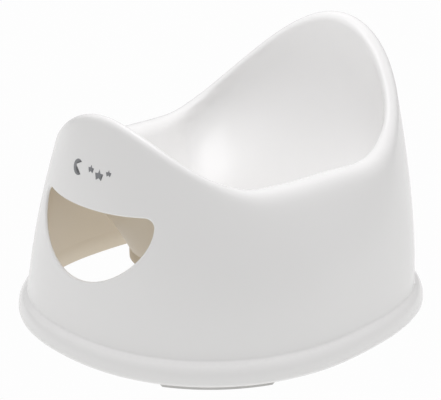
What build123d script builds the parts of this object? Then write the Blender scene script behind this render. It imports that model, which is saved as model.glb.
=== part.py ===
"""Potty training chair: a moulded shell, a lift-out pot and four anti-slip feet.

Millimetres. +Z is up, the splash guard faces -Y and the backrest stands at +Y.
The origin is on the floor, at the middle of the footprint.
"""

import os
from math import acos, atan2, cos, degrees, hypot, pi, radians, sin, tan

from build123d import *

# ---------------------------------------------------------------- driving dimensions
# Plan of the skirt at its foot, measured from the chair's axis
AXIS_Y = -4.0  # the vertical axis that every radial section turns about
FOOT_HALF_WIDTH = 157.0
FOOT_FRONT = 162.0
FOOT_BACK = 170.0
FRONT_SQUARENESS = 2.2  # exponent of the superellipse, 2 is an ellipse
BACK_SQUARENESS = 2.6

# Flared foot below the skirt
FLARE = 8.3
FLARE_TOP = 21.0
FLARE_BOTTOM = 3.0
BEAD_RADIUS = 4.5
FLARE_INSIDE = 1.8  # where the hollow's wall ends, outwards of the skirt's foot
CREASE = 2.2  # half the size of the rounding where the skirt meets the flare

# Skirt: how far it leans inwards, as millimetres per millimetre of height, and its bow
SIDE_LEAN = (0.1, 0.0016)
FRONT_LEAN = (0.16, 0.0002)
BACK_LEAN = (-0.065, 0.00034)
WALL = 2.6

# Rim: it swings down from the splash guard to the arms and up again to the backrest
GUARD_HEIGHT = 191.0
ARM_HEIGHT = 140.0
BACK_HEIGHT = 240.0
GUARD_SWING = 62.0  # degrees in plan from the middle of the guard to the level arm
BACK_SWING = 68.0  # degrees in plan from the level arm to the middle of the backrest

# Half of the rim's thickness: a thin guard, a broad arm, and a backrest that thickens to its middle
GUARD_RADIUS = 5.2
ARM_RADIUS = 18.0
BACK_SIDE_RADIUS = 6.5
BACK_RADIUS = 9.3
GUARD_END = -55.0  # angles from the side, where one thickness starts to turn into the next
ARM_START = -20.0
ARM_END = 15.0
BACK_START = 50.0
ARM_TILT = 24.0  # degrees from upright of the arm's inner side

# Hand hole in the front of the skirt, shaped like a smile
HOLE_HALF_WIDTH = 63.5
HOLE_TOP = 121.0
HOLE_TOP_RISE = 3.0
HOLE_SHOULDER = 113.5
HOLE_BOTTOM = 65.0
HOLE_CORNER = 8.0
HOLE_FULLNESS = 0.5
HOLE_OUTER_EDGE = 1.6
HOLE_INNER_EDGE = 0.6
HOLE_REACH = 30.0  # start of the cut, in front of the skirt
HOLE_DEPTH = 66.0

# Funnel and the pot seat at its foot
SEAT_HALF_WIDTH = 64.0
SEAT_FRONT = 76.0
SEAT_BACK = 86.0
SEAT_SQUARENESS = 2.2
SEAT_EDGE_Z = 60.0
LEDGE_Z = 52.0
LEDGE_WIDTH = 4.0
LEDGE_THICKNESS = 2.6
LEG_DROP = 1.5  # height of the seat's edge above the end of the funnel's outside
FUNNEL_SLOPE = 64.0  # degrees above level, at the seat
FUNNEL_TOP_PULL = 0.45  # how long the funnel keeps its upper and lower directions, as shares of its drop
FUNNEL_FOOT_PULL = 0.4

# Lift-out pot
POT_GAP = 0.3
POT_WALL = 2.2
POT_SKIRT = 2.0
POT_BASE_Z = 14.0
POT_BASE_HALF_WIDTH = 46.0
POT_BASE_FRONT = 50.0
POT_BASE_BACK = 62.0
POT_BASE_ROUND = 9.0
POT_BELLY = 0.66  # share of the widening reached by mid height, above 0.5 is fuller than a straight taper
POT_CORE_RADIUS = 15.0
POT_RIM_HOLLOW = 3.0
POT_LIP = 0.15
POT_TOP_Z = 59.35

# Anti-slip feet and their seats under the flare
FOOT_ANGLES = {"front_left": -45.0, "front_right": -135.0, "back_left": 45.0, "back_right": 135.0}
FOOT_HALF_SPAN = 15.0
FOOT_THICKNESS = 3.0
FOOT_OUTSIDE = 3.0
FOOT_INSIDE = -9.0
FOOT_END_CHAMFER = 1.8
WEB_THICKNESS = 2.5
WEB_OUTSIDE = 3.0
WEB_INSIDE = -10.5
WEB_MARGIN = 1.5
PLUG_SPREAD = 9.0
PLUG_OFFSET = -3.2
PLUG_RADIUS = 2.4
PLUG_HEAD_RADIUS = 3.3
PLUG_HEAD_HEIGHT = 1.8
PLUG_TIP_RADIUS = 1.6
PLUG_CLEARANCE = 0.1
PLUG_HOLE_DEPTH = 12.0

# Sections of the shell: one every STATION_STEP degrees, a little past the middle at both ends
STATION_STEP = 10
PLAN_STEP = 10
OVERRUN = 100

FUNNEL = Vector(cos(radians(FUNNEL_SLOPE)), sin(radians(FUNNEL_SLOPE)))
STANDING = (Align.CENTER, Align.CENTER, Align.MIN)


def arc_handle(turn):
    """Handle of the cubic curve that follows an arc of a circle, for its turn in radians and radius 1."""
    return 4 / 3 * tan(turn / 4)


ROUND = arc_handle(pi / 2)


# ---------------------------------------------------------------- shapes in plan
def oval_radius(angle, half_width, front, back, front_squareness, back_squareness):
    """Distance from the chair's axis to a superellipse, at an angle from +X."""
    across = abs(cos(radians(angle)))
    along = abs(sin(radians(angle)))
    depth, power = (front, front_squareness) if sin(radians(angle)) < 0 else (back, back_squareness)
    return ((across / half_width) ** power + (along / depth) ** power) ** (-1 / power)


def foot_radius(angle):
    """Plan of the skirt at its foot."""
    return oval_radius(angle, FOOT_HALF_WIDTH, FOOT_FRONT, FOOT_BACK, FRONT_SQUARENESS, BACK_SQUARENESS)


def seat_radius(angle):
    """Plan of the pot seat's upper edge."""
    return oval_radius(angle, SEAT_HALF_WIDTH, SEAT_FRONT, SEAT_BACK, SEAT_SQUARENESS, SEAT_SQUARENESS)


def polar_point(radius, angle):
    """A point in plan, from its distance and angle about the chair's axis."""
    return (radius * cos(radians(angle)), AXIS_Y + radius * sin(radians(angle)))


def plan_sketch(radius_at, offset=0.0, height=0.0):
    """A level sketch whose outline is radius_at(angle) plus an offset."""
    with BuildSketch(Plane.XY.offset(height)) as plan:
        with BuildLine():
            Spline(
                *[polar_point(radius_at(angle) + offset, angle) for angle in range(-90, 91, PLAN_STEP)],
                tangents=[(1, 0), (-1, 0)],
            )
            mirror(about=Plane.YZ)
        make_face()
    return plan.sketch


# ---------------------------------------------------------------- shell
def mirrored_angle(angle):
    """Angle within -90 to 90 that has the same section by left and right symmetry."""
    if angle > 90:
        return 180 - angle
    if angle < -90:
        return -180 - angle
    return angle


def ease(angle, start, end):
    """Half a cosine wave: 0 up to the start angle and 1 from the end angle."""
    share = min(max((angle - start) / (end - start), 0), 1)
    return (1 - cos(pi * share)) / 2


def rim_height(angle):
    """Height of the rim's crest."""
    guard = (GUARD_HEIGHT - ARM_HEIGHT) * (1 - ease(angle, -90, GUARD_SWING - 90))
    backrest = (BACK_HEIGHT - ARM_HEIGHT) * ease(angle, 90 - BACK_SWING, 90)
    return ARM_HEIGHT + guard + backrest


def rim_tilt(angle):
    """Lean of the rim's inner side, in radians from upright: level arms slope towards the pot."""
    return radians(ARM_TILT) * ease(angle, GUARD_END, ARM_START) * (1 - ease(angle, ARM_END, BACK_START))


def rim_radius(angle):
    """Half of the rim's thickness."""
    radius = GUARD_RADIUS
    radius += (ARM_RADIUS - GUARD_RADIUS) * ease(angle, GUARD_END, ARM_START)
    radius += (BACK_SIDE_RADIUS - ARM_RADIUS) * ease(angle, ARM_END, BACK_START)
    return radius + (BACK_RADIUS - BACK_SIDE_RADIUS) * ease(angle, BACK_START, 90)


def skirt_lean(angle, rise):
    """How far the skirt has leant inwards at a height above the flare."""
    side = cos(radians(angle)) ** 2
    end = FRONT_LEAN if angle < 0 else BACK_LEAN
    slope = side * SIDE_LEAN[0] + (1 - side) * end[0]
    bow = side * SIDE_LEAN[1] + (1 - side) * end[1]
    return slope * rise + bow * rise**2, slope + 2 * bow * rise


def shell_section(station):
    """Radial section of the shell: an upturned U from the foot over the rim to the pot seat."""
    angle = mirrored_angle(station)
    foot = foot_radius(angle)
    crest = rim_height(angle)
    radius = rim_radius(angle)
    seat = seat_radius(angle)

    # Skirt: a parabola from just above the crease to the start of the rim
    low = CREASE
    high = crest - radius - FLARE_TOP
    lean_low, slope_low = skirt_lean(angle, low)
    lean_high, slope_high = skirt_lean(angle, high)
    middle = (low + high) / 2
    skirt_low = Vector(foot - lean_low, FLARE_TOP + low)
    skirt_bend = Vector(foot - lean_low - slope_low * (high - low) / 2, FLARE_TOP + middle)
    skirt_high = Vector(foot - lean_high, FLARE_TOP + high)
    inward = Vector(-WALL, 0)

    # Rim: from the skirt's own slope over the crest and down the inside
    up = Vector(-slope_high, 1) * ROUND
    top = Vector(skirt_high.X - radius, crest)
    under_top = Vector(top.X, crest - WALL)
    centre = Vector(top.X, skirt_high.Y)
    tilt = rim_tilt(angle)
    downwards = Vector(-sin(tilt), -cos(tilt))
    across = Vector(-cos(tilt), sin(tilt))
    hollow = radius - WALL
    inside_high = centre + across * radius
    under_inside = centre + across * hollow
    inner_round = arc_handle(pi / 2 - tilt)

    # Funnel: from the inside of the rim down to the upper edge of the pot seat
    seat_edge = Vector(seat, SEAT_EDGE_Z)
    under_edge = Vector(seat + WALL, SEAT_EDGE_Z - LEG_DROP)
    drop = inside_high.Y - seat_edge.Y
    down = downwards * (FUNNEL_TOP_PULL * drop)
    out = FUNNEL * (FUNNEL_FOOT_PULL * drop)

    # Flare: an arc of an ellipse above a round bead, and a small crease up to the skirt
    bead = Vector(foot + FLARE - BEAD_RADIUS, FLARE_BOTTOM + BEAD_RADIUS)
    flare_high = FLARE_TOP - bead.Y
    flare_turn = acos(CREASE / FLARE)
    flare_pull = Vector(FLARE * sin(flare_turn), -flare_high * cos(flare_turn))
    flare_start = Vector(foot + CREASE, bead.Y + flare_high * sin(flare_turn))
    crease = flare_start - flare_pull * ((flare_start.X - skirt_low.X) / flare_pull.X)
    widest = Vector(foot + FLARE, bead.Y)
    bottom = Vector(bead.X, FLARE_BOTTOM)
    inner_flare = Vector(skirt_low.X - WALL, bead.Y + flare_high / 2)
    inner_foot = Vector(foot + FLARE_INSIDE, FLARE_BOTTOM)

    with BuildSketch(radial_plane(station)) as section:
        with BuildLine():
            Bezier(bottom, bottom + (BEAD_RADIUS * ROUND, 0), widest - (0, BEAD_RADIUS * ROUND), widest)
            Bezier(
                widest,
                widest + (0, flare_high * arc_handle(flare_turn)),
                flare_start + flare_pull * arc_handle(flare_turn),
                flare_start,
            )
            Bezier(flare_start, crease, skirt_low)
            Bezier(skirt_low, skirt_bend, skirt_high)
            Bezier(skirt_high, skirt_high + up * radius, top + (radius * ROUND, 0), top)
            Bezier(
                top,
                top - (radius * inner_round, 0),
                inside_high - downwards * (radius * inner_round),
                inside_high,
            )
            Bezier(inside_high, inside_high + down, seat_edge + out, seat_edge)
            Polyline(
                seat_edge,
                (seat, LEDGE_Z),
                (seat - LEDGE_WIDTH, LEDGE_Z),
                (seat - LEDGE_WIDTH, LEDGE_Z - LEDGE_THICKNESS),
                (seat + WALL, LEDGE_Z - LEDGE_THICKNESS),
                under_edge,
            )
            Bezier(under_edge, under_edge + out, under_inside + down, under_inside)
            Bezier(
                under_inside,
                under_inside - downwards * (hollow * inner_round),
                under_top - (hollow * inner_round, 0),
                under_top,
            )
            Bezier(under_top, under_top + (hollow * ROUND, 0), skirt_high + inward + up * hollow, skirt_high + inward)
            Bezier(skirt_high + inward, skirt_bend + inward, skirt_low + inward)
            Bezier(skirt_low + inward, inner_flare, inner_foot)
            Line(inner_foot, bottom)
        make_face()
    return section.sketch


def radial_plane(angle):
    """Upright plane through the chair's axis, with local X outwards and local Y up."""
    outwards = (cos(radians(angle)), sin(radians(angle)), 0)
    return Plane(origin=(0, AXIS_Y, 0), x_dir=outwards, z_dir=(outwards[1], -outwards[0], 0))


def hole_sketch():
    """Smile-shaped hand hole, drawn as seen from the front."""
    depth = HOLE_SHOULDER - HOLE_BOTTOM
    corner_z = HOLE_TOP + HOLE_TOP_RISE
    with BuildSketch(Plane.XZ.offset(FOOT_FRONT + HOLE_REACH)) as hole:
        with BuildLine():
            ThreePointArc((-HOLE_HALF_WIDTH, corner_z), (0, HOLE_TOP), (HOLE_HALF_WIDTH, corner_z))
            for side in (-1, 1):
                edge = side * HOLE_HALF_WIDTH
                Line((edge, corner_z), (edge, HOLE_SHOULDER))
                Bezier(
                    (edge, HOLE_SHOULDER),
                    (edge, HOLE_SHOULDER - HOLE_FULLNESS * depth),
                    (edge * HOLE_FULLNESS, HOLE_BOTTOM),
                    (0, HOLE_BOTTOM),
                )
        make_face()
        fillet(hole.vertices().group_by(Axis.Z)[-1], HOLE_CORNER)
    return hole.sketch


def outside_edge(edge):
    """Whether an edge lies on the skirt's outer face, not on its inner one."""
    point = edge.center()
    angle = degrees(atan2(point.Y - AXIS_Y, point.X))
    outside = foot_radius(angle) - skirt_lean(angle, point.Z - FLARE_TOP)[0]
    return outside - hypot(point.X, point.Y - AXIS_Y) < WALL / 2


def ring_sector(height, middle, half_span, inside, outside):
    """Part of the ring between two offsets of the skirt's plan, within an angle."""
    far = 2 * FOOT_BACK
    with BuildSketch(Plane.XY.offset(height)) as ring:
        add(plan_sketch(foot_radius, outside))
        add(plan_sketch(foot_radius, inside), mode=Mode.SUBTRACT)
        with BuildLine():
            Polyline(
                (0, AXIS_Y),
                polar_point(far, middle - half_span),
                polar_point(far, middle + half_span),
                (0, AXIS_Y),
            )
        make_face(mode=Mode.INTERSECT)
    return ring.sketch


def plug_places(middle):
    """Where a foot's two plugs stand, in plan."""
    return [
        polar_point(foot_radius(middle + turn) + PLUG_OFFSET, middle + turn)
        for turn in (-PLUG_SPREAD, PLUG_SPREAD)
    ]


def bowl_side(base, mouth, inset=0.0):
    """Side of the pot from its flat base to the ledge, drawn in by an inset, as three curves."""
    round_radius = POT_BASE_ROUND
    flat = Vector(base - round_radius, POT_BASE_Z + inset)
    low = Vector(base - inset, POT_BASE_Z + round_radius)
    high = Vector(mouth - inset, LEDGE_Z)
    run = high - low
    belly = low + (POT_BELLY * run.X, run.Y / 2)
    turn = (belly - low).normalized() * (ROUND * round_radius)
    base_start = (POT_CORE_RADIUS, flat.Y)
    Line(base_start, flat)
    Bezier(flat, flat + (ROUND * round_radius, 0), low - turn, low)
    Bezier(low, belly, high)
    return base_start, high, (high - belly).normalized()


def pot_section(station):
    """Radial section of the pot: base, side, and a rolled rim that stands on the shell's ledge."""
    angle = mirrored_angle(station)
    seat = seat_radius(angle)
    base = oval_radius(angle, POT_BASE_HALF_WIDTH, POT_BASE_FRONT, POT_BASE_BACK, 2, 2)
    mouth = seat - LEDGE_WIDTH - POT_GAP
    outside = seat - POT_GAP
    lip = Vector(outside - POT_LIP, POT_TOP_Z)
    blend = (POT_TOP_Z - LEDGE_Z) / 2
    with BuildSketch(radial_plane(station)) as section:
        with BuildLine():
            outer_base, outer_high, _ = bowl_side(base, mouth)
            inner_base, inner_high, side = bowl_side(base, mouth, POT_WALL)
            Line(outer_base, inner_base)
            Polyline(
                outer_high,
                (outside - POT_SKIRT, LEDGE_Z + POT_RIM_HOLLOW),
                (outside - POT_SKIRT, LEDGE_Z),
                (outside, LEDGE_Z),
                (outside, POT_TOP_Z - POT_LIP),
                lip,
            )
            Bezier(lip, lip - FUNNEL * blend, inner_high + side * (blend / 2), inner_high)
        make_face()
    return section.sketch


# ---------------------------------------------------------------- body shell
with BuildPart() as body_shell:
    # The right half is made first, with the hand hole in it, and then mirrored
    loft([shell_section(station) for station in range(-OVERRUN, OVERRUN + 1, STATION_STEP)])
    split(bisect_by=Plane.YZ, keep=Keep.TOP)
    extrude(hole_sketch(), amount=-HOLE_DEPTH, mode=Mode.SUBTRACT)
    hole_edges = body_shell.edges(Select.LAST).filter_by(Axis.Y, reverse=True)
    hole_edges = hole_edges.filter_by(lambda edge: edge.center().X > HOLE_CORNER)
    inner_edges = hole_edges.filter_by(outside_edge, reverse=True)
    fillet(hole_edges.filter_by(outside_edge), HOLE_OUTER_EDGE)
    fillet(inner_edges, HOLE_INNER_EDGE)
    mirror(about=Plane.YZ)
    # Seats of the feet: webs across the flare, each with two holes for the plugs
    for middle in FOOT_ANGLES.values():
        web = ring_sector(FOOT_THICKNESS, middle, FOOT_HALF_SPAN + WEB_MARGIN, WEB_INSIDE, WEB_OUTSIDE)
        extrude(web, amount=WEB_THICKNESS)
        with Locations(*plug_places(middle)):
            Cylinder(PLUG_RADIUS + PLUG_CLEARANCE, PLUG_HOLE_DEPTH, mode=Mode.SUBTRACT)

body_shell.part.label = "body_shell"


# ---------------------------------------------------------------- inner pot
with BuildPart() as inner_pot:
    loft([pot_section(station) for station in range(-OVERRUN, OVERRUN + 1, STATION_STEP)])
    split(bisect_by=Plane.YZ, keep=Keep.TOP)
    mirror(about=Plane.YZ)
    # The middle of the base, inside the sections
    with Locations((0, AXIS_Y, POT_BASE_Z)):
        Cylinder(2 * POT_CORE_RADIUS, POT_WALL, align=STANDING)

inner_pot.part.label = "inner_pot"


# ---------------------------------------------------------------- anti-slip feet
def make_foot(middle):
    """Rubber strip with slanted ends and two plugs that push into the shell's web."""
    with BuildPart() as foot:
        extrude(ring_sector(0, middle, FOOT_HALF_SPAN, FOOT_INSIDE, FOOT_OUTSIDE), amount=FOOT_THICKNESS)
        underside = foot.faces().sort_by(Axis.Z)[0]
        chamfer(underside.edges().filter_by(GeomType.LINE), FOOT_END_CHAMFER)
        for place in plug_places(middle):
            with Locations((*place, FOOT_THICKNESS)):
                Cylinder(PLUG_RADIUS, WEB_THICKNESS, align=STANDING)
            with Locations((*place, FOOT_THICKNESS + WEB_THICKNESS)):
                Cone(PLUG_HEAD_RADIUS, PLUG_TIP_RADIUS, PLUG_HEAD_HEIGHT, align=STANDING)
    return foot.part


feet = {f"foot_{name}": make_foot(middle) for name, middle in FOOT_ANGLES.items()}

# ---------------------------------------------------------------- export
os.makedirs("parts", exist_ok=True)
pieces = {"body_shell": body_shell.part, "inner_pot": inner_pot.part, **feet}
for name, piece in pieces.items():
    piece.label = name
    export_step(piece, f"parts/{name}.step")
    print(name, piece.is_valid, round(piece.volume), len(piece.solids()), piece.bounding_box())
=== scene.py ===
from math import cos, radians, sin

import bmesh
import bpy
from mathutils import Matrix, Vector
from mathutils.bvhtree import BVHTree


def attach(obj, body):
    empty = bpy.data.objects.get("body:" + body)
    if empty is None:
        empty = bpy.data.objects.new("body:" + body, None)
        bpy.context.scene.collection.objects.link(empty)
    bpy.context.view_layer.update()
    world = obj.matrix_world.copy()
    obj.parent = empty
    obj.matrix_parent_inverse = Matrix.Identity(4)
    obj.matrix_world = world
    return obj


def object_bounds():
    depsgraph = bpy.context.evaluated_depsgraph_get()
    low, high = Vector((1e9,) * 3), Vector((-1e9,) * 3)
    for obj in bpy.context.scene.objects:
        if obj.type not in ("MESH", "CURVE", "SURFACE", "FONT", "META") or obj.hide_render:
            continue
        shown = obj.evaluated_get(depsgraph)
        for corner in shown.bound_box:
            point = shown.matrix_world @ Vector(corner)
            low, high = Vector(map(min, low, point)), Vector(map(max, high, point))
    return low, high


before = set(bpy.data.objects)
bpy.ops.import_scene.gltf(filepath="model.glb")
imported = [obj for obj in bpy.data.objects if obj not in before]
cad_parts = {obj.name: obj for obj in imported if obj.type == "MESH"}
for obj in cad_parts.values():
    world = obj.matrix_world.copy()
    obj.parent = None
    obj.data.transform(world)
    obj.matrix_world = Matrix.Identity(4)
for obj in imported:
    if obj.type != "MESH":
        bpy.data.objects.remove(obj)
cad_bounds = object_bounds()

MM = 0.001
AXIS_Y = -4 * MM  # the chair's upright axis, as in the CAD model
WALL = 2.6 * MM  # the shell's wall, as in the CAD model
scene = bpy.context.scene

# ---------------------------------------------------------------- driving values
CAMERA_AZIMUTH = 44.4  # degrees from the chair's front towards its left
CAMERA_ELEVATION = 18.4
CAMERA_DISTANCE = 0.924
CAMERA_TARGET_Z = 92.4 * MM
CAMERA_LENS = 86.9  # mm, as is the sensor
CAMERA_SENSOR = 36.0
CAMERA_SHIFT = (0.0108, 0.0032)
CAMERA_REACH = 20.0

# Brightness of the studio by direction
SKY_TOP = 1.45
SKY_SIDE = 0.32
SKY_FRONT = 0.1  # behind the camera
SKY_LOW = 0.2  # sine of the height above which the sky brightens towards its top
SKY_TINT = (0.995, 0.99, 1, 1)
FLOOR_GLOW = 0.985
FLOOR_HALF = 6.0
TOP_LIGHT_POWER = 0.28  # watts
TOP_LIGHT_SIZE = 0.22
TOP_LIGHT_Z = 0.48
TOP_LIGHT_TINT = (0.98, 0.975, 1)

# Linear colours of the plastics, as they are and where they are cloudier. The hollow's pair is painted shade:
# a darker, warmer colour for the faces under the rim, not the plastic's own colour
WHITE = (0.88, 0.875, 0.865)
WHITE_CLOUD = (0.87, 0.865, 0.855)
# painted shade for the hollow under the rim and the pot's outside, not a colour of the plastic
HOLLOW_SHADE = (0.68, 0.6, 0.48)
HOLLOW_SHADE_CLOUD = (0.66, 0.585, 0.465)
RUBBER = (0.62, 0.615, 0.6)
RUBBER_CLOUD = (0.56, 0.555, 0.54)
INK = (0.26, 0.265, 0.275)
INK_CLOUD = (0.23, 0.235, 0.245)
DUST = (0.3, 0.28, 0.26)

# Finish of the plastics
WHITE_ROUGHNESS = 0.25
HOLLOW_ROUGHNESS = 0.4
SPECK_STRENGTH = 0.35

# Where the shell counts as its hollow, whose faces get painted shade
ROOF_CLEARANCE = 12 * MM  # a face looks up for a roof from this far off itself
SKIN_REACH = 0.7 * WALL  # a face nearer than this to the outer skin belongs to it, unless it looks inwards
INWARD = -0.3

# Printed moon and stars on the splash guard
PRINT_Z = 150 * MM
PRINT_RADIUS = 6.2 * MM
PRINT_LIFT = 0.08 * MM
PRINT_STEP = 0.7 * MM
MOON_X = -14 * MM
MOON_TIP_ANGLE = 50  # degrees from the moon's middle to its tips
BITE_TIP_ANGLE = 70  # the same, from the middle of the arc that hollows it
STAR_WAIST = 0.45  # a star's inner corners, as a share of its radius
STARS = ((2, 1.5, 3.4), (11.5, -1.5, 4.6), (21, 1.5, 2.8))  # x, z and radius in mm, from the print's middle


# ---------------------------------------------------------------- camera
def make_camera():
    """Viewpoint in front of the chair, to its left and a little above it."""
    azimuth, elevation = radians(CAMERA_AZIMUTH), radians(CAMERA_ELEVATION)
    back = Vector((sin(azimuth) * cos(elevation), -cos(azimuth) * cos(elevation), sin(elevation)))
    camera = bpy.data.objects.new("camera", bpy.data.cameras.new("camera"))
    camera.location = Vector((0, AXIS_Y, CAMERA_TARGET_Z)) + back * CAMERA_DISTANCE
    camera.rotation_euler = (-back).to_track_quat("-Z", "Y").to_euler()
    camera.data.lens = CAMERA_LENS
    camera.data.sensor_width = CAMERA_SENSOR
    camera.data.shift_x, camera.data.shift_y = CAMERA_SHIFT
    camera.data.clip_end = CAMERA_REACH
    scene.collection.objects.link(camera)
    scene.camera = camera


# ---------------------------------------------------------------- material helpers
def new_material(name):
    """A node material, its nodes, its links, its shader and the object's own coordinates."""
    material = bpy.data.materials.new(name)
    material.use_nodes = True
    nodes = material.node_tree.nodes
    place = nodes.new("ShaderNodeTexCoord").outputs["Object"]
    return material, nodes, material.node_tree.links, nodes["Principled BSDF"], place


def noise(nodes, links, place, scale, detail=2.0, roughness=0.5):
    """Noise over the object, with scale in cells per metre."""
    node = nodes.new("ShaderNodeTexNoise")
    node.inputs["Scale"].default_value = scale
    node.inputs["Detail"].default_value = detail
    node.inputs["Roughness"].default_value = roughness
    links.new(place, node.inputs["Vector"])
    return node.outputs["Fac"]


def spread(nodes, links, value, low, high, start=0.3, end=0.7):
    """A value between start and end, mapped to low and high."""
    node = nodes.new("ShaderNodeMapRange")
    node.inputs["From Min"].default_value = start
    node.inputs["From Max"].default_value = end
    node.inputs["To Min"].default_value = low
    node.inputs["To Max"].default_value = high
    links.new(value, node.inputs["Value"])
    return node.outputs["Result"]


def mix_colour(nodes, links, factor, first, second):
    """Blend of two colours; either may be a socket or a tuple."""
    node = nodes.new("ShaderNodeMix")
    node.data_type = "RGBA"
    for socket, colour in ((node.inputs[6], first), (node.inputs[7], second)):
        if isinstance(colour, tuple):
            socket.default_value = (*colour, 1)
        else:
            links.new(colour, socket)
    links.new(factor, node.inputs[0])
    return node.outputs[2]


def bump(nodes, links, height, distance, strength, normal=None):
    """A bump of a real depth in metres, laid over an earlier one."""
    node = nodes.new("ShaderNodeBump")
    node.inputs["Distance"].default_value = distance
    node.inputs["Strength"].default_value = strength
    links.new(height, node.inputs["Height"])
    if normal is not None:
        links.new(normal, node.inputs["Normal"])
    return node.outputs["Normal"]


def specks(nodes, links, place, scale, radius, share):
    """Sparse specks: 1 in a speck and 0 elsewhere. Only a share of the pattern's cells hold one."""
    cells = nodes.new("ShaderNodeTexVoronoi")
    cells.inputs["Scale"].default_value = scale
    links.new(place, cells.inputs["Vector"])
    near = spread(nodes, links, cells.outputs["Distance"], 1, 0, radius * scale / 2, radius * scale)
    chosen = spread(nodes, links, cells.outputs["Color"], 1, 0, share, share + 0.01)
    both = nodes.new("ShaderNodeMath")
    both.operation = "MULTIPLY"
    links.new(near, both.inputs[0])
    links.new(chosen, both.inputs[1])
    return both.outputs["Value"]


# ---------------------------------------------------------------- materials
def moulded_plastic(name, colour, cloud, roughness, speck_strength=0.0):
    """Glossy moulded polypropylene: faint clouding, slow waves in the wall, a fine skin and rare specks."""
    material, nodes, links, shader, place = new_material(name)
    cloud_share = noise(nodes, links, place, 9, 3)
    base = mix_colour(nodes, links, cloud_share, colour, cloud)
    if speck_strength:
        dots = specks(nodes, links, place, 24, 0.5 * MM, 0.42)
        dust_share = spread(nodes, links, dots, 0, speck_strength, 0, 1)
        base = mix_colour(nodes, links, dust_share, base, DUST)
    links.new(base, shader.inputs["Base Color"])
    wipe = noise(nodes, links, place, 35, 4, 0.6)
    gloss = spread(nodes, links, wipe, roughness - 0.02, roughness + 0.03, 0, 1)
    links.new(gloss, shader.inputs["Roughness"])
    wave = bump(nodes, links, noise(nodes, links, place, 11, 0), 0.3 * MM, 0.3)
    skin = bump(nodes, links, noise(nodes, links, place, 1800, 2), 0.004 * MM, 0.3, wave)
    links.new(skin, shader.inputs["Normal"])
    shader.inputs["IOR"].default_value = 1.49
    return material


def foot_rubber():
    """Soft matt rubber with a fine grain."""
    material, nodes, links, shader, place = new_material("foot_rubber")
    share = spread(nodes, links, noise(nodes, links, place, 90, 3), 0, 1)
    links.new(mix_colour(nodes, links, share, RUBBER, RUBBER_CLOUD), shader.inputs["Base Color"])
    links.new(spread(nodes, links, noise(nodes, links, place, 500), 0.55, 0.7), shader.inputs["Roughness"])
    grain = bump(nodes, links, noise(nodes, links, place, 2500, 3), 0.05 * MM, 0.5)
    links.new(grain, shader.inputs["Normal"])
    shader.inputs["IOR"].default_value = 1.5
    return material


def print_ink():
    """Thin grey pad-printed ink, a little uneven in its cover."""
    material, nodes, links, shader, place = new_material("print_ink")
    share = spread(nodes, links, noise(nodes, links, place, 700, 4, 0.7), 0, 1)
    links.new(mix_colour(nodes, links, share, INK, INK_CLOUD), shader.inputs["Base Color"])
    links.new(spread(nodes, links, noise(nodes, links, place, 1500), 0.35, 0.5), shader.inputs["Roughness"])
    shader.inputs["IOR"].default_value = 1.5
    return material


# ---------------------------------------------------------------- CAD nodes
def mesh_tree(mesh, faces):
    """Search tree of some of a mesh's faces."""
    return BVHTree.FromPolygons([v.co for v in mesh.vertices], [tuple(face.vertices) for face in faces])


def outwardness(face):
    """How far a face looks away from the chair's axis, from -1 to 1."""
    radial = Vector((face.center.x, face.center.y - AXIS_Y, 0)).normalized()
    return radial.dot(face.normal)


def painted_shade_faces(mesh):
    """Faces of the hollow below the rim, which get painted shade: roofed by the object, and away from the
    hand hole's edge.
    """
    whole = mesh_tree(mesh, mesh.polygons)
    up = Vector((0, 0, 1))
    roofed = [whole.ray_cast(f.center + f.normal * ROOF_CLEARANCE, up)[0] is not None for f in mesh.polygons]
    skin = mesh_tree(mesh, [face for face, inside in zip(mesh.polygons, roofed) if not inside])
    return [
        inside and (outwardness(face) < INWARD or skin.find_nearest(face.center, SKIN_REACH)[0] is None)
        for face, inside in zip(mesh.polygons, roofed)
    ]


def set_materials(name, materials, indices=None):
    """Give a CAD node its materials, with each face's index where there are several."""
    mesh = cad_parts[name].data
    mesh.materials.clear()
    for material in materials:
        mesh.materials.append(material)
    if indices is not None:
        mesh.polygons.foreach_set("material_index", [int(index) for index in indices])


def pot_painted_shade_faces(mesh):
    """Faces of the pot that look down or away from its middle; these get the hollow's painted shade."""
    return [face.normal.z < -0.5 or outwardness(face) > 0 for face in mesh.polygons]


# ---------------------------------------------------------------- printed moon and stars
def arc_points(centre_x, centre_z, radius, start, end, count):
    """Points along an arc in the print's plane, from angle to angle in degrees."""
    angles = [radians(start + (end - start) * i / count) for i in range(count + 1)]
    return [(centre_x + radius * cos(a), centre_z + radius * sin(a)) for a in angles]


def moon_outline():
    """Crescent between two arcs that share their tips."""
    tip, bite_tip = radians(MOON_TIP_ANGLE), radians(BITE_TIP_ANGLE)
    bite = PRINT_RADIUS * sin(tip) / sin(bite_tip)
    bite_x = PRINT_RADIUS * cos(tip) - bite * cos(bite_tip)
    outer = arc_points(0, 0, PRINT_RADIUS, MOON_TIP_ANGLE, 360 - MOON_TIP_ANGLE, 40)
    inner = arc_points(bite_x, 0, bite, 360 - BITE_TIP_ANGLE, BITE_TIP_ANGLE, 32)
    return [(x + MOON_X, z) for x, z in outer + inner[1:-1]]


def star_outline(x, z, radius):
    """Five-pointed star."""
    tips = [(radius if i % 2 == 0 else radius * STAR_WAIST, radians(90 + 36 * i)) for i in range(10)]
    return [(x + r * cos(a), z + r * sin(a)) for r, a in tips]


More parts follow.
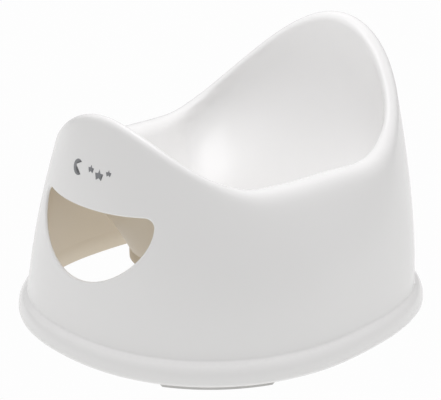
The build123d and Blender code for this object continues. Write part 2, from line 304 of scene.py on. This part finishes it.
def make_print(material):
    """Moon and stars laid on the curved splash guard as a thin film."""
    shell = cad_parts["body_shell"].data
    tree = mesh_tree(shell, shell.polygons)
    front_y = cad_bounds[0][1] - 0.1
    outlines = [moon_outline()] + [star_outline(*(value * MM for value in star)) for star in STARS]
    film = bmesh.new()
    for outline in outlines:
        ring = [film.verts.new((x, front_y, PRINT_Z + z)) for x, z in outline]
        film.faces.new(ring)
    bmesh.ops.triangulate(film, faces=film.faces[:])
    for _ in range(5):
        longest = [edge for edge in film.edges if edge.calc_length() > PRINT_STEP]
        if not longest:
            break
        bmesh.ops.subdivide_edges(film, edges=longest, cuts=1)
        bmesh.ops.triangulate(film, faces=film.faces[:])
    for vertex in film.verts:
        hit, normal, _, _ = tree.ray_cast(vertex.co, Vector((0, 1, 0)))
        vertex.co = hit + normal * PRINT_LIFT
    mesh = bpy.data.meshes.new("guard_print")
    film.to_mesh(mesh)
    film.free()
    mesh.polygons.foreach_set("use_smooth", [True] * len(mesh.polygons))
    mesh.materials.append(material)
    piece = bpy.data.objects.new("guard_print", mesh)
    scene.collection.objects.link(piece)
    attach(piece, "chair")


# ---------------------------------------------------------------- floor and light
def make_floor():
    """Plain white floor that gives its own even light, as a light table does."""
    mesh = bpy.data.meshes.new("floor")
    corners = [(x * FLOOR_HALF, y * FLOOR_HALF, 0) for x, y in ((-1, -1), (1, -1), (1, 1), (-1, 1))]
    mesh.from_pydata(corners, [], [(0, 1, 2, 3)])
    floor = bpy.data.objects.new("floor", mesh)
    scene.collection.objects.link(floor)
    material = bpy.data.materials.new("floor_white")
    material.use_nodes = True
    nodes, links = material.node_tree.nodes, material.node_tree.links
    glow = nodes.new("ShaderNodeEmission")
    glow.inputs["Color"].default_value = (1, 1, 1, 1)
    glow.inputs["Strength"].default_value = FLOOR_GLOW
    links.new(glow.outputs["Emission"], nodes["Material Output"].inputs["Surface"])
    mesh.materials.append(material)


def make_sky():
    """Soft white light from all round: strongest from above, weakest from behind the camera."""
    world = bpy.data.worlds.new("studio")
    world.use_nodes = True
    nodes, links = world.node_tree.nodes, world.node_tree.links
    place = nodes.new("ShaderNodeTexCoord").outputs["Generated"]
    azimuth = radians(CAMERA_AZIMUTH)

    def along(direction):
        """How far a direction of the sky points along another, from -1 to 1."""
        dot = nodes.new("ShaderNodeVectorMath")
        dot.operation = "DOT_PRODUCT"
        dot.inputs[1].default_value = direction
        links.new(place, dot.inputs[0])
        return dot.outputs["Value"]

    def add(first, second):
        """Sum of two values."""
        total = nodes.new("ShaderNodeMath")
        total.operation = "ADD"
        links.new(first, total.inputs[0])
        links.new(second, total.inputs[1])
        return total.outputs["Value"]

    rise = spread(nodes, links, along((0, 0, 1)), 0, SKY_TOP - SKY_SIDE, SKY_LOW, 1)
    camera_side = along((sin(azimuth), -cos(azimuth), 0))
    around = spread(nodes, links, camera_side, SKY_SIDE, SKY_FRONT, 0, 1)
    links.new(add(rise, around), nodes["Background"].inputs["Strength"])
    nodes["Background"].inputs["Color"].default_value = SKY_TINT
    scene.world = world


def make_top_light():
    """Small softbox close above the opening: it fills the bowl and lines the rolled rim with a soft gleam."""
    light = bpy.data.lights.new("top_light", "AREA")
    light.shape = "DISK"
    light.size = TOP_LIGHT_SIZE
    light.energy = TOP_LIGHT_POWER
    light.color = TOP_LIGHT_TINT
    lamp = bpy.data.objects.new("top_light", light)
    lamp.location = (0, AXIS_Y, TOP_LIGHT_Z)
    lamp.visible_camera = False
    scene.collection.objects.link(lamp)


# ---------------------------------------------------------------- the scene
make_camera()
white = moulded_plastic("white_plastic", WHITE, WHITE_CLOUD, WHITE_ROUGHNESS, SPECK_STRENGTH)
# painted shade: the hollow under the rim and the outside of the pot get a darker, warmer copy of the white,
# in place of the shade that falls there
hollow = moulded_plastic("hollow_painted_shade", HOLLOW_SHADE, HOLLOW_SHADE_CLOUD, HOLLOW_ROUGHNESS)
set_materials("body_shell", (white, hollow), painted_shade_faces(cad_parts["body_shell"].data))
set_materials("inner_pot", (white, hollow), pot_painted_shade_faces(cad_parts["inner_pot"].data))
rubber = foot_rubber()
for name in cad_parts:
    if name.startswith("foot_"):
        set_materials(name, (rubber,))
make_print(print_ink())
make_floor()
make_sky()
make_top_light()
scene.view_settings.view_transform = "Standard"
